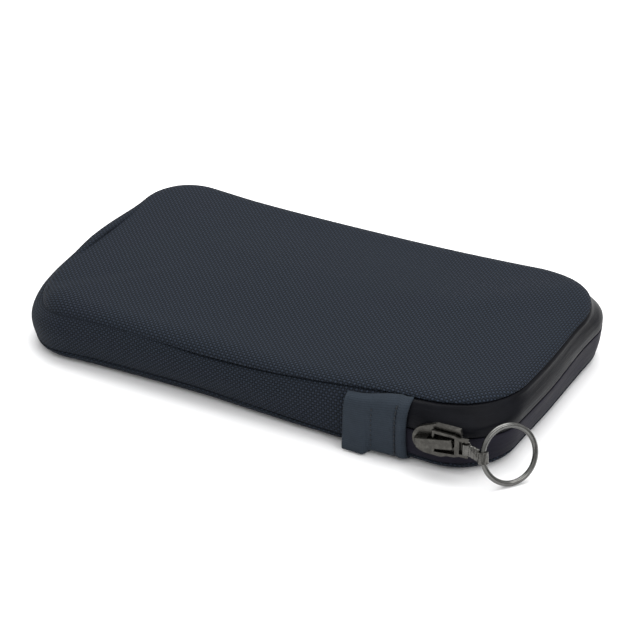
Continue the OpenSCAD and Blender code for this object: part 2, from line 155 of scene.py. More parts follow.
# What the soft pouch does at places round its edge, in mm. seam_in and seam_up move the lid's seam, and
# top_up moves the top over it. belly swells the wall, roll_in and roll_up move the base's seam, and groove is
# how deep the lid's seam sits.
Edge = namedtuple("Edge", "x y seam_in seam_up top_up belly roll_in roll_up groove")
EDGES = (
    Edge(76, -64, 5.0, 1.4, 1.0, -0.3, 1.0, 0.2, 1.0),
    Edge(90, -63, 3.4, 1.5, 1.3, -0.2, 0.5, 0.2, 0.8),
    Edge(102, -56, 1.6, 1.2, 1.2, 0.0, 1.0, 0.3, 0.7),
    Edge(109, -40, 0.4, 0.8, 0.9, 0.5, 1.6, 0.3, 0.7),
    Edge(110, -10, -0.4, 0.4, 0.5, 1.1, 1.2, 0.2, 0.7),
    Edge(110, 25, 0.6, 0.4, 0.3, -0.1, 1.6, 0.2, 0.7),
    Edge(103, 56, -0.4, 0.6, 1.0, 0.9, 1.6, 0.2, 0.9),
    Edge(80, 64, 0.8, -0.5, -0.3, 0.6, 1.5, 0.2, 0.8),
    Edge(40, 64, 1.6, -1.8, -1.6, 0.6, 1.6, 0.2, 0.7),
    Edge(-10, 64, 1.6, -2.4, -2.2, 0.6, 1.6, 0.2, 0.7),
    Edge(-60, 64, 2.0, -1.6, -1.4, 0.4, 1.8, 0.2, 0.8),
    Edge(-100, 57, 2.2, 0.5, 0.6, -0.2, 2.0, 0.3, 1.0),
    Edge(-110, 35, 4.4, 1.4, -0.1, 0.2, 1.6, 0.4, 1.3),
    Edge(-110, -15, 5.0, 1.8, -0.8, 1.1, 0.8, 0.4, 1.6),
    Edge(-110, -32, 5.0, -0.6, -1.1, 1.6, 0.5, 0.4, 1.6),
    Edge(-106, -48, 4.4, -5.6, -1.4, 1.2, 0.5, 0.5, 1.0),
    Edge(-94, -62, 3.0, -4.6, -0.6, 0.9, 0.8, 0.6, 0.0),
    Edge(-70, -64, 1.6, -2.6, -0.6, 0.7, 1.8, 1.6, 0.0),
    Edge(-45, -64, 1.0, -2.4, -0.8, 0.8, 2.2, 2.0, 0.1),
    Edge(-20, -64, 0.6, -3.4, -1.0, 0.8, 2.4, 1.8, 1.0),
    Edge(5, -64, 0.4, -2.6, -1.0, 0.9, 1.4, 1.2, 1.4),
    Edge(30, -64, 0.8, -0.8, -0.4, 0.8, 0.6, 0.6, 1.4),
    Edge(52, -64, 2.6, 0.8, 0.6, 0.3, 0.4, 0.3, 1.2),
)
Section = namedtuple("Section", "seam_in seam_up top_up belly roll_in roll_up groove")

# How far the base's edge rolls in from its seam down to the floor.
BASE_ROLL = 4.5 * MM

# How sharply the wall turns in under the lid's seam, and the share of its height where that begins.
SEAM_POWER = 6
LEAN_FROM = 0.66


def edge_section(along):
    """The values of the edge table at distances along the outline."""
    places = []
    for edge in EDGES:
        gap = np.linalg.norm(WALL - np.array([edge.x, edge.y]) * MM, axis=1)
        places.append(ALONG[np.argmin(gap)])
    order = np.argsort(places)
    xs = np.array(places)[order]
    xs = np.concatenate([xs - ROUND, xs, xs + ROUND])
    values = []
    for name in Section._fields:
        ys = np.array([getattr(edge, name) for edge in EDGES])[order] * MM
        values.append(curve(along, xs, np.tile(ys, 3)))
    return Section(*values)


SECTION = edge_section(ALONG)


def pick(section, columns):
    return Section(*(values[columns] for values in section))


def seam_heights(section):
    """Heights of the base's seam and of the lid's seam."""
    return BASE_SEAM + section.roll_up, LID_SEAM + section.seam_up


def skin(section, z):
    """How far in from the outline the pouch's outside is at height z, and its lean to the lid's outline."""
    low, high = seam_heights(section)
    share = np.clip((z - low) / (high - low), 0, 1)
    under = np.clip((low - z) / low, 0, 1)
    inset = section.roll_in * (1 - share) ** 3 + section.seam_in * share ** SEAM_POWER
    inset = inset - section.belly * np.sin(math.pi * share) + BASE_ROLL * under ** 2.2
    return inset, smooth(LEAN_FROM, 1.0, share)


def place(columns, inset, lean, z):
    """Points at height z, in from the outline by inset. lean goes from the wall's outline, 0, to the lid's."""
    inset = np.broadcast_to(inset, len(columns))[:, None]
    wall = WALL[columns] - WALL_OUT[columns] * inset
    lid = LID[columns] - LID_OUT[columns] * inset
    flat = wall + (lid - wall) * np.broadcast_to(lean, len(columns))[:, None]
    return np.column_stack([flat, np.broadcast_to(z, len(columns))])


# ---- Mesh building ----

def new_object(name, verts, faces, uvs=None):
    """A smooth-shaded mesh object, with its cloth coordinates one to a vertex."""
    mesh = bpy.data.meshes.new(name)
    mesh.from_pydata([tuple(v) for v in verts], [], faces)
    mesh.update()
    if uvs is not None:
        layer = mesh.uv_layers.new(name="Cloth")
        index = np.empty(len(mesh.loops), int)
        mesh.loops.foreach_get("vertex_index", index)
        layer.data.foreach_set("uv", np.asarray(uvs, float)[index].ravel())
    mesh.polygons.foreach_set("use_smooth", [True] * len(mesh.polygons))
    obj = bpy.data.objects.new(name, mesh)
    bpy.context.scene.collection.objects.link(obj)
    return obj


def bake(obj):
    """Applies the object's modifiers to its mesh."""
    graph = bpy.context.evaluated_depsgraph_get()
    mesh = bpy.data.meshes.new_from_object(obj.evaluated_get(graph))
    obj.modifiers.clear()
    obj.data = mesh
    return obj


def thicken(obj, thickness, offset=-1.0):
    """Gives a cloth surface its thickness, inwards from the outside."""
    solid = obj.modifiers.new("thickness", "SOLIDIFY")
    solid.thickness = thickness
    solid.offset = offset
    return bake(obj)


def subdivide(obj, levels=1):
    modifier = obj.modifiers.new("smooth", "SUBSURF")
    modifier.levels = modifier.render_levels = levels
    return bake(obj)


def area_of(obj):
    return sum(face.area for face in obj.data.polygons)


def grid_faces(rows, cols, closed):
    """Quads of a grid of points, rows from the bottom up and columns counter-clockwise."""
    last = cols if closed else cols - 1
    return [(r * cols + c, r * cols + (c + 1) % cols, (r + 1) * cols + (c + 1) % cols, (r + 1) * cols + c)
            for r in range(rows - 1) for c in range(last)]


def step_lengths(rows):
    """Mean distance from each row of points to the first one, along the surface."""
    steps = [0.0] + [float(np.mean(np.linalg.norm(b - a, axis=1))) for a, b in zip(rows, rows[1:])]
    return np.cumsum(steps)


def strip_object(name, rows, along):
    """An open surface through rows of points, with the weave along them and up them."""
    up = step_lengths(rows)
    uvs = np.vstack([np.column_stack([along, np.full(len(along), u)]) for u in up])
    obj = new_object(name, np.vstack(rows), grid_faces(len(rows), len(along), False), uvs)
    obj["flat"] = (float(up[-1]), float(along[-1] - along[0]))
    return obj


def round_columns(kind):
    """Point numbers round the zip end or round the rest, both ends included."""
    if kind == "front":
        return np.arange(N_FRONT + 1)
    return np.arange(N_FRONT, N_ALL + 1) % N_ALL


def wall_strip(name, kind, low, high, levels, wrinkle, seed, squash=(45 * MM, 9 * MM)):
    """A wall of cloth on the pouch's skin, from height low to high. levels are rows of (share of that
    height, extra inset). Soft wrinkles, longer than they are high, push it out and in between its edges."""
    columns = round_columns(kind)
    section = pick(SECTION, columns)
    low, high = np.broadcast_to(low, N_ALL)[columns], np.broadcast_to(high, N_ALL)[columns]
    along = ALONG[columns].copy()
    if kind == "back":
        along[-1] += ROUND
    rows = []
    for share, tuck in levels:
        z = low + share * (high - low)
        inset, lean = skin(section, z)
        free = math.sin(math.pi * min(max(share, 0), 1)) ** 0.7
        here = np.column_stack([along / squash[0], z / squash[1], np.zeros(len(z))])
        rows.append(place(columns, inset + tuck - ripple(here, 1.0, seed) * wrinkle * free, lean, z))
    return strip_object(name, rows, along)


def panel(name, rims, inner_z, wave, seed, facing_down=False, lean=1.0, steps=24):
    """A whole panel seen from above: rows of (inset, height) arrays from its edge, and then on to the middle,
    where its height is inner_z. Its cloth coordinates are the panel laid flat."""
    columns = np.arange(N_ALL)
    rows = [place(columns, inset, lean, z) for inset, z in rims]
    last = rows[-1]
    core_x = np.clip(last[:, 0], HALF_W - HALF_L, HALF_L - HALF_W)
    for k in range(1, steps + 1):
        share = k / steps
        row = last.copy()
        row[:, 0] += (core_x - last[:, 0]) * share
        row[:, 1] *= 1 - share
        row[:, 2] += (inner_z(core_x) - last[:, 2]) * smooth(0, 0.9, share)
        swell = 0.7 * ripple(row, 55 * MM, seed) + 0.3 * ripple(row, 22 * MM, seed)
        row[:, 2] += wave * smooth(0, 0.25, share) * swell
        rows.append(row)
    flat = [row[:, :2].copy() for row in rows]
    for k in range(len(rims) - 2, -1, -1):
        reach = np.linalg.norm(rows[k + 1] - rows[k], axis=1)[:, None]
        flat[k] = flat[k + 1] + LID_OUT * reach
    obj = new_object(name, np.vstack(rows), grid_faces(len(rows), N_ALL, True), np.vstack(flat))
    obj["flat"] = tuple(float(size) for size in np.ptp(flat[0], axis=0)[::-1])
    mesh = bmesh.new()
    mesh.from_mesh(obj.data)
    bmesh.ops.remove_doubles(mesh, verts=mesh.verts, dist=0.02 * MM)
    if facing_down:
        bmesh.ops.reverse_faces(mesh, faces=mesh.faces)
    mesh.to_mesh(obj.data)
    mesh.free()
    return obj


def tube_object(name, path, radius, sides=8):
    """A round tube along a path of points, closed at both ends."""
    path = [Vector(p) for p in path]
    verts = []
    for k, point in enumerate(path):
        ahead = (path[min(k + 1, len(path) - 1)] - path[max(k - 1, 0)]).normalized()
        side = ahead.cross(Vector((0, 0, 1)) if abs(ahead.z) < 0.9 else Vector((1, 0, 0))).normalized()
        up = side.cross(ahead)
        taper = 0.6 if k in (0, len(path) - 1) else 1.0
        for angle in np.arange(sides) * 2 * math.pi / sides:
            verts.append(point + (side * math.cos(angle) + up * math.sin(angle)) * radius * taper)
    faces = [(k * sides + i, k * sides + (i + 1) % sides,
              (k + 1) * sides + (i + 1) % sides, (k + 1) * sides + i)
             for k in range(len(path) - 1) for i in range(sides)]
    faces += [tuple(reversed(range(sides))), tuple(range(len(verts) - sides, len(verts)))]
    return new_object(name, verts, faces, [(0.0, 0.0)] * len(verts))


def join(name, objects):
    """One object out of several."""
    mesh = bmesh.new()
    for obj in objects:
        mesh.from_mesh(obj.data)
        bpy.data.objects.remove(obj)
    joined = bpy.data.meshes.new(name)
    mesh.to_mesh(joined)
    mesh.free()
    obj = bpy.data.objects.new(name, joined)
    bpy.context.scene.collection.objects.link(obj)
    return obj


# ---- Materials ----

class Nodes:
    """A short way to wire a material's nodes."""

    def __init__(self, name):
        self.material = bpy.data.materials.new(name)
        self.material.use_nodes = True
        self.tree = self.material.node_tree
        self.tree.nodes.clear()
        out = self.tree.nodes.new("ShaderNodeOutputMaterial")
        self.shader = self.tree.nodes.new("ShaderNodeBsdfPrincipled")
        self.tree.links.new(self.shader.outputs[0], out.inputs[0])

    def link(self, value, socket):
        if isinstance(value, bpy.types.NodeSocket):
            self.tree.links.new(value, socket)
        else:
            socket.default_value = value

    def math(self, op, *values):
        node = self.tree.nodes.new("ShaderNodeMath")
        node.operation = op
        for socket, value in zip(node.inputs, values):
            self.link(value, socket)
        return node.outputs[0]

    def mix(self, factor, a, b):
        node = self.tree.nodes.new("ShaderNodeMix")
        node.data_type = "RGBA"
        self.link(factor, node.inputs["Factor"])
        self.link(a, node.inputs[6])
        self.link(b, node.inputs[7])
        return node.outputs[2]

    def span(self, value, low, high, out_low=0.0, out_high=1.0):
        node = self.tree.nodes.new("ShaderNodeMapRange")
        for socket, v in zip(node.inputs, (value, low, high, out_low, out_high)):
            self.link(v, socket)
        return node.outputs[0]

    def noise(self, vector, scale, detail=3.0, rough=0.5):
        """Noise at a scale of so many features a metre, one number or one for each axis."""
        node = self.tree.nodes.new("ShaderNodeTexNoise")
        if isinstance(scale, tuple):
            stretch = self.tree.nodes.new("ShaderNodeMapping")
            self.link(vector, stretch.inputs["Vector"])
            stretch.inputs["Scale"].default_value = scale
            vector, scale = stretch.outputs[0], 1.0
        self.link(vector, node.inputs["Vector"])
        node.inputs["Scale"].default_value = scale
        node.inputs["Detail"].default_value = detail
        node.inputs["Roughness"].default_value = rough
        return node.outputs[0]

    def position(self):
        return self.tree.nodes.new("ShaderNodeTexCoord").outputs["Object"]

    def cloth_uv(self):
        node = self.tree.nodes.new("ShaderNodeUVMap")
        node.uv_map = "Cloth"
        return node.outputs[0]

    def parts(self, vector):
        node = self.tree.nodes.new("ShaderNodeSeparateXYZ")
        self.link(vector, node.inputs[0])
        return node.outputs

    def bump(self, height, distance, strength=1.0):
        node = self.tree.nodes.new("ShaderNodeBump")
        self.link(height, node.inputs["Height"])
        node.inputs["Distance"].default_value = distance
        node.inputs["Strength"].default_value = strength
        return node.outputs[0]

    def set(self, **values):
        for key, value in values.items():
            self.link(value, self.shader.inputs[key.replace("_", " ")])


def weave(n, uv, pitch_u, pitch_v):
    """Plain weave: its height from 0 to 1, and 1 where the thread on top runs along u."""
    wobble = n.math("MULTIPLY", n.math("SUBTRACT", n.noise(uv, (140, 140, 1), 2.0), 0.5), 0.4)
    u, v, _ = n.parts(uv)
    u = n.math("ADD", n.math("DIVIDE", u, pitch_u), wobble)
    v = n.math("ADD", n.math("DIVIDE", v, pitch_v), wobble)
    cell = n.math("ADD", n.math("FLOOR", u), n.math("FLOOR", v))
    over = n.math("ABSOLUTE", n.math("MODULO", cell, 2.0))

    def arch(x):
        return n.math("COSINE", n.math("MULTIPLY", n.math("SUBTRACT", n.math("FRACT", x), 0.5), math.pi))

    def thread(across, ahead):
        return n.math("MULTIPLY", n.math("POWER", across, 0.6), n.math("MULTIPLY_ADD", ahead, 0.6, 0.4))

    arch_u, arch_v = arch(u), arch(v)
    along_u = n.math("MULTIPLY", thread(arch_v, arch_u), over)
    along_v = n.math("MULTIPLY", thread(arch_u, arch_v), n.math("SUBTRACT", 1.0, over))
    return n.math("ADD", along_u, along_v), over


def shade(rgb, k):
    return (rgb[0] * k, rgb[1] * k, rgb[2] * k, 1.0)


def woven(name, rgb, pitch, depth, highlight_gain=2.3, sheen=0.01):
    """Plain-woven cloth: rounded threads, a painted highlight on the thread that runs over, painted shade on
    the thread under it and in the gaps, and uneven dye.
    """
    n = Nodes(name)
    uv = n.cloth_uv()
    height, over = weave(n, uv, pitch, pitch)
    fibre = n.noise(uv, (6000, 6000, 1), 2.0)
    tone = n.mix(n.span(n.noise(n.position(), 35.0), 0.3, 0.7), shade(rgb, 0.92), shade(rgb, 1.08))
    # Painted highlight on the thread that runs over, lighter and a little bluer; painted shade on the thread
    # under it.
    highlighted_top_thread = n.mix(0.75, tone, shade((rgb[0], rgb[1], rgb[2] * 1.08), highlight_gain))
    tone = n.mix(over, n.mix(0.5, tone, shade(rgb, 0.7)), highlighted_top_thread)
    # Painted shade in the gaps between threads: the low parts of the weave are darkened.
    tone = n.mix(n.span(height, 0.2, 0.75, 1.0, 0.0), tone, shade(rgb, 0.3))
    n.set(Base_Color=n.mix(n.math("MULTIPLY", fibre, 0.25), tone, shade(rgb, 0.7)),
          Roughness=n.span(height, 0.0, 1.0, 0.95, 0.72),
          Normal=n.bump(n.math("MULTIPLY_ADD", fibre, 0.2, height), depth),
          Sheen_Weight=sheen, Sheen_Roughness=0.4, Specular_IOR_Level=0.12)
    return n.material


def coated(name, rgb, rough):
    """Zip tape under a satin film: its weave barely prints through, with fine lengthwise creases."""
    n = Nodes(name)
    uv = n.cloth_uv()
    print_through, _ = weave(n, uv, 0.7 * MM, 0.7 * MM)
    crease = n.noise(uv, (40, 420, 1), 4.0, 0.55)
    smear = n.noise(uv, (70, 130, 1))
    height = n.math("MULTIPLY_ADD", print_through, 0.05, crease)
    height = n.math("MULTIPLY_ADD", n.noise(n.position(), 2200.0, 2.0), 0.05, height)
    n.set(Base_Color=n.mix(n.span(smear, 0.3, 0.7), shade(rgb, 0.75), shade(rgb, 1.3)),
          Roughness=n.span(smear, 0.25, 0.75, rough, rough + 0.12), Normal=n.bump(height, 0.5 * MM, 0.6),
          Specular_IOR_Level=0.06)
    return n.material


def ribbon(name, rgb):
    """Fine ribbed ribbon: close ribs across it with finer threads between them, and painted shade in the low
    places between the ribs.
    """
    n = Nodes(name)
    uv = n.cloth_uv()
    height, _ = weave(n, uv, 0.5 * MM, 0.9 * MM)
    fibre = n.noise(uv, (2500, 900, 1))
    tone = n.mix(n.span(n.noise(n.position(), 260.0), 0.3, 0.7), shade(rgb, 0.88), shade(rgb, 1.1))
    # Painted shade between the ribs: the low parts are darkened.
    tone = n.mix(n.span(height, 0.2, 0.8, 1.0, 0.0), tone, shade(rgb, 0.6))
    n.set(Base_Color=n.mix(n.math("MULTIPLY", fibre, 0.3), tone, shade(rgb, 1.35)), Roughness=0.8,
          Normal=n.bump(n.math("MULTIPLY_ADD", fibre, 0.5, height), 0.1 * MM),
          Sheen_Weight=0.02, Sheen_Roughness=0.35, Specular_IOR_Level=0.15)
    return n.material


def plated(name, rgb, rough, worn=1.35, ridge=0.0):
    """Plated zinc: brushed grain, casting bumps, brighter worn spots, and ridges across a folded link."""
    n = Nodes(name)
    where = n.position()
    grain = n.noise(where, (900, 900, 5200))
    height = n.math("MULTIPLY_ADD", grain, 0.4, n.noise(where, 900.0))
    if ridge:
        wave = n.math("SINE", n.math("MULTIPLY", n.parts(where)[0], 2 * math.pi / (1.15 * MM)))
        height = n.math("MULTIPLY_ADD", wave, ridge, height)
    tone = n.mix(n.span(n.noise(where, 420.0, 4.0, 0.65), 0.42, 0.68), shade(rgb, 0.85), shade(rgb, worn))
    n.set(Base_Color=tone, Metallic=1.0, Roughness=n.span(grain, 0.3, 0.7, rough - 0.06, rough + 0.08),
          Normal=n.bump(height, 0.05 * MM, 0.6))
    return n.material


def moulded(name, rgb, rough):
    """Nylon, thread or foam skin: fine mottling and a grained surface."""
    n = Nodes(name)
    mottle = n.noise(n.position(), 1500.0)
    n.set(Base_Color=n.mix(mottle, shade(rgb, 0.8), shade(rgb, 1.3)), Roughness=rough,
          Normal=n.bump(mottle, 0.05 * MM, 0.5))
    return n.material


NAVY = (0.0110, 0.0150, 0.0215)
SHELL = woven("woven_shell_cloth", NAVY, 1.1 * MM, 0.3 * MM)
LINING = woven("lining_cloth", (0.075, 0.092, 0.12), 0.35 * MM, 0.05 * MM, 1.3)
POCKET = woven("pocket_cloth_fine", (0.095, 0.115, 0.15), 0.35 * MM, 0.05 * MM, 1.3)
BINDING = woven("binding_cloth", (0.012, 0.014, 0.018), 0.5 * MM, 0.08 * MM)
COATED = coated("coated_tape_film", (0.0042, 0.0045, 0.0062), 0.34)
COATED_LOW = coated("coated_low_film", (0.0110, 0.0105, 0.0165), 0.5)
RIBBON = ribbon("ribbon_cloth", (0.023, 0.031, 0.042))
THREAD = moulded("sewing_thread", (0.006, 0.008, 0.012), 0.7)
FOAM = moulded("foam_skin", (0.045, 0.048, 0.055), 0.9)
COIL = moulded("coil_nylon", (0.008, 0.008, 0.01), 0.45)
GUNMETAL = plated("slider_plating", (0.060, 0.058, 0.053), 0.3)
LINK_METAL = plated("link_plating", (0.10, 0.098, 0.092), 0.26, 1.2, 3.0)
RING_METAL = plated("ring_plating", (0.125, 0.125, 0.12), 0.16, 1.1)
STEEL = plated("plain_steel", (0.5, 0.5, 0.5), 0.35)


def dress(obj, material):
    obj.data.materials.clear()
    obj.data.materials.append(material)
    return obj


def finish_piece(obj, material, body, replaced=()):
    """Dresses a piece, ties it to its CAD body and hides the CAD nodes it stands for."""
    dress(obj, material)
    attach(obj, body)
    if replaced:
        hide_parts(*replaced)
    return obj


def finish_lid_piece(obj, material, replaced):
    """Dresses a piece of the lid, hides the CAD nodes it stands for and bakes its placement into its mesh. The
    lid bends where the flap folds up from the rest, but this piece is tied to no body.
    """
    dress(obj, material)
    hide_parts(*replaced)
    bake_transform(obj)
    return obj


# ---- Shell ----

def make_base():
    """Base panel: flat on the floor, then rolling up to its seam."""
    low, _ = seam_heights(SECTION)
    rims = [(SECTION.roll_in + 1.7 * MM, low + 0.2 * MM), (SECTION.roll_in + 0.7 * MM, low)]
    for share in (0.12, 0.3, 0.5, 0.7, 0.85, 0.95, 1.0):
        z = low * (1 - share)
        rims.append((skin(SECTION, z)[0], z))
    for further in (3, 7):
        rims.append((SECTION.roll_in + BASE_ROLL + further * MM, 0 * low))
    obj = panel("base_cloth", rims, lambda x: 0 * x, 0.0, 3, facing_down=True, lean=0.0)
    finish_piece(thicken(obj, CLOTH), SHELL, "pouch", ["bottom_panel"])


def turned_in(groove):
    """1 where a seam is deep enough to show its cloths' edges turned in, and 0 where they meet flush."""
    return np.clip(groove / (0.6 * MM), 0, 1)


def make_side_wall():
    """Woven side wall from the far fold round the closed end to the near fold, tucked in at both seams."""
    low, high = seam_heights(SECTION)
    groove = pick(SECTION, round_columns("back")).groove
    turned = turned_in(groove)
    levels = [(-0.02, 1.8 * MM), (0.0, 0.6 * MM), (0.025, 0.1 * MM)]
    levels += [(share, 0.0) for share in np.linspace(0.07, 0.93, 15)]
    levels += [(0.965, 0.15 * groove), (0.99, 0.5 * groove), (1.0, groove)]
    levels += [(1.03, groove + 1.5 * MM * turned)]
    obj = wall_strip("side_wall_cloth", "back", low, high, levels, 0.4 * MM, 11)
    finish_piece(thicken(obj, CLOTH), SHELL, "pouch", ["gusset"])


MIDDLE_X = np.array([-110, -60, 0, 60, 110]) * MM
MIDDLE_RISE = np.array([0.9, 0.4, -0.4, 0.5, 1.2]) * MM


def lid_height(drop=0.0):
    return lambda x: TOP + curve(x, MIDDLE_X, MIDDLE_RISE) - drop


# How much wider than high the lid's rolled edge is.
LID_ROLL = 4 * MM


def lid_roll(degrees, further=0.0, drop=0.0):
    """Rims of the lid's rolled edge, from 0 at its seam to 90 at its flat top. further and drop place the
    layers under it."""
    _, high = seam_heights(SECTION)
    depth = TOP + SECTION.top_up - high
    reach = LID_ROLL + depth
    edge = SECTION.seam_in - 0.3 * SECTION.groove + further
    return [(edge + reach * (1 - math.cos(angle)), high - drop + depth * math.sin(angle))
            for angle in np.radians(degrees)]


def make_lid():
    """Lid panel: turned in at its seam, rolled over its edge, and softly uneven on top."""
    turned = turned_in(SECTION.groove)
    rims = lid_roll((0,), 1.9 * MM * turned + SECTION.groove, 0.1 * MM) + lid_roll((0,), 1.3 * SECTION.groove)
    rims += lid_roll((8,), 0.3 * MM * turned) + lid_roll((18, 30, 43, 56, 68, 79, 90))
    obj = panel("lid_cloth", rims, lid_height(), 0.8 * MM, 5)
    finish_lid_piece(thicken(obj, CLOTH), SHELL, ["lid_panel_back", "lid_panel_flap"])


def lid_layer(name, further, drop, thickness):
    """A layer under the lid panel, following it further in and lower down."""
    obj = panel(name, lid_roll((30, 50, 70, 90), further, drop), lid_height(drop), 0.8 * MM, 5)
    area = area_of(obj)
    return thicken(obj, thickness), area


def make_lid_inside():
    pad, _ = lid_layer("lid_foam_pad", 1.2 * MM, 1.3 * MM, 1.5 * MM)
    finish_lid_piece(pad, FOAM, ["lid_foam_back", "lid_foam_flap"])
    lining, area = lid_layer("lid_lining_cloth", 1.4 * MM, 3.0 * MM, LINING_T)
    finish_lid_piece(lining, LINING, ["lid_lining_back", "lid_lining_flap"])


def make_tapes():
    """The coated zip tape's two halves, with their free edges turned in at the slit."""
    low, high = seam_heights(SECTION)
    levels = [(-0.03, 1.7 * MM), (0.0, 0.6 * MM), (0.04, 0.05 * MM)]
    levels += [(share, 0.0) for share in np.linspace(0.12, 0.86, 9)]
    levels += [(0.94, 0.0), (0.985, 0.12 * MM), (1.0, 0.4 * MM)]
    lower = wall_strip("lower_zip_tape", "front", low, SLIT - 0.06 * MM, levels, 0.4 * MM, 21)
    finish_piece(thicken(lower, TAPE), COATED_LOW, "pouch", ["zip_tape_lower"])

    levels = [(0.0, 0.9 * MM), (0.015, 0.4 * MM), (0.06, 0.1 * MM)]
    levels += [(share, 0.0) for share in np.linspace(0.12, 0.8, 10)]
    levels += [(0.86, -0.15 * MM), (0.91, -0.25 * MM), (0.95, 0.0)]
    levels += [(0.98, 0.5 * MM), (1.0, 1.0 * MM), (1.04, 2.4 * MM)]
    upper = wall_strip("upper_zip_tape", "front", SLIT + 0.06 * MM, high, levels, 0.5 * MM, 27)
    finish_piece(thicken(upper, TAPE), COATED, "flap", ["zip_tape_upper"])


# ---- Zip coil ----

COIL_PITCH = 1.3 * MM


def make_coil(name, node, body, heading):
    """A sewn coil half behind its tape: one nylon wire wound round and round, from fold to fold."""
    box_low, box_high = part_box(node)
    columns = round_columns("front")
    middle = (box_low.z + box_high.z) / 2
    turns = int((ALONG[columns[-1]] - ALONG[0]) / COIL_PITCH)
    steps = turns * 8
    s = np.linspace(ALONG[0] + 2 * MM, ALONG[columns[-1]] - 2 * MM, steps)
    inset, _ = skin(pick(SECTION, columns), np.full(len(columns), middle))
    wall = place(columns, np.maximum(inset, 0) + TAPE + 1.35 * MM, 0.0, middle)
    angle = np.arange(steps) * 2 * math.pi / 8
    path = np.column_stack([np.interp(s, ALONG[columns], wall[:, k]) for k in range(3)])
    out = np.column_stack([np.interp(s, ALONG[columns], WALL_OUT[columns][:, k]) for k in range(2)])
    path[:, :2] += out * (np.cos(angle) * 0.85 * MM)[:, None]
    path[:, 2] += heading * np.sin(angle) * 1.75 * MM
    obj = tube_object(name, path, 0.32 * MM, 5)
    finish_piece(obj, COIL, body, [node])


# ---- Inside of the base ----

def base_layer(name, insets, heights, thickness, lift):
    """A layer on the base: its edge insets and heights in mm, and how much it swells."""
    rims = [(SECTION.roll_in + inset * MM, np.full(N_ALL, height * MM))
            for inset, height in zip(insets, heights)]
    obj = panel(name, rims, lambda x: np.full(len(x), heights[-1] * MM), lift, 9, lean=0.0)
    area = area_of(obj)
    return thicken(obj, thickness), area


def make_base_inside():
    pad, _ = base_layer("base_foam_pad", (5.4, 5.8, 8), (2.0, 2.7, 3.0), 1.6 * MM, 0.0)
    finish_piece(pad, FOAM, "pouch", ["bottom_foam"])
    lining, area = base_layer("base_lining_cloth", (1.9, 2.3, 4.0, 8), (4.6, 4.0, 3.7, 3.6), LINING_T, 0.0)
    finish_piece(lining, LINING, "pouch", ["bottom_lining"])
    low, high = seam_heights(SECTION)
    levels = [(share, 1.5 * MM) for share in np.linspace(0.05, 0.93, 9)]
    wall = wall_strip("gusset_lining_cloth", "back", low, high, levels, 0.3 * MM, 31)
    area = area_of(wall)
    finish_piece(thicken(wall, LINING_T), LINING, "pouch", ["gusset_lining"])


def rolled_binding(name, node, body):
    """The rolled tape that covers a seam's raw edge, along the outside of its CAD ring."""
    low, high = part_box(node)
    columns = {"lid_seam_binding_back": round_columns("back"),
               "lid_seam_binding_flap": round_columns("front")}
    keep = columns.get(node, np.append(np.arange(N_ALL), 0))
    lean = 0.0 if node == "base_seam_binding" else 1.0
    seam = SECTION.roll_in if node == "base_seam_binding" else SECTION.seam_in
    path = place(keep, seam[keep] + 2.9 * MM, lean, (low.z + high.z) / 2)
    finish_piece(tube_object(name, path, 0.75 * MM), BINDING, body, [node])


def soft_sheet(name, node, material, bow):
    """A pocket sheet or card slot: flat along its sewn edges, and bowed up at its mouth. Its declared area is
    held to its flat size, though the bowed cloth is up to 2 percent larger."""
    low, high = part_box(node)
    xs, ys = np.linspace(low.x, high.x, 48), np.linspace(low.y, high.y, 40)
    length, width = high.x - low.x, high.y - low.y
    rows = []
    for x in xs:
        share_y = (ys - low.y) / width
        share_x = (x - low.x) / length
        pillow = np.clip(np.minimum(share_y, 1 - share_y) * 12, 0, 1) * min(share_x * 12, 1)
        row = np.column_stack([np.full(len(ys), x), ys, np.full(len(ys), high.z)])
        row[:, 0] -= 1.2 * MM * smooth(0.8, 1.0, share_x) * np.sin(math.pi * share_y)
        row[:, 2] += (pillow - 1) * min(0.9 * MM, 0.8 * (high.z - low.z))
        row[:, 2] += bow * smooth(0.75, 1.0, share_x) * np.sin(math.pi * share_y) * pillow
        row[:, 2] += 0.15 * MM * ripple(row, 30 * MM, 41) * pillow
        rows.append(row)
    obj = strip_object(name, rows, ys)
    obj["flat"] = (float(length), float(width))
    finish_piece(thicken(obj, 0.4 * MM), material, "pouch", [node])
    hem = [row + np.array([0, 0, -0.1 * MM]) for row in rows[-1][1:-1]]
    edge = tube_object(name + "_hem", hem, 0.45 * MM)
    finish_piece(edge, BINDING, "pouch")


# ---- Tabs ----

# Points along a tab's outer layer, how far its fold stops behind the end of its box, and where its row of
# stitches is behind the fold.
OUTER_COLUMNS = 44
FOLD_BACK = 1.8 * MM
STITCH_BACK = 4.4 * MM


def roll(x, middle, width):
    """A smooth bump from 0 to 1 about the middle."""
    return math.exp(-((x - middle) / width) ** 2)


def tab_path(low_x, fold_x, gap, bump):
    """Plan of folded ribbon as (x, distance from the wall): under layer, round fold, outer layer."""
    radius = gap / 2
    start = 0.35 * MM
    under = [(x, start) for x in np.linspace(low_x + 10 * MM, fold_x - radius, 10)]
    fold = [(fold_x - radius + radius * math.sin(a), start + radius - radius * math.cos(a))
            for a in np.linspace(0.2, math.pi - 0.2, 9)]
    outer = []
    for x in np.linspace(fold_x - radius, low_x, OUTER_COLUMNS):
        out = start + gap + bump * math.sin(math.pi * (fold_x - x) / (fold_x - low_x))
        out += 0.45 * MM * roll(x, fold_x - 2.2 * MM, 1.5 * MM)
        out -= 0.55 * MM * roll(x, fold_x - STITCH_BACK, 0.8 * MM)
        outer.append((x, out))
    return under + fold + outer


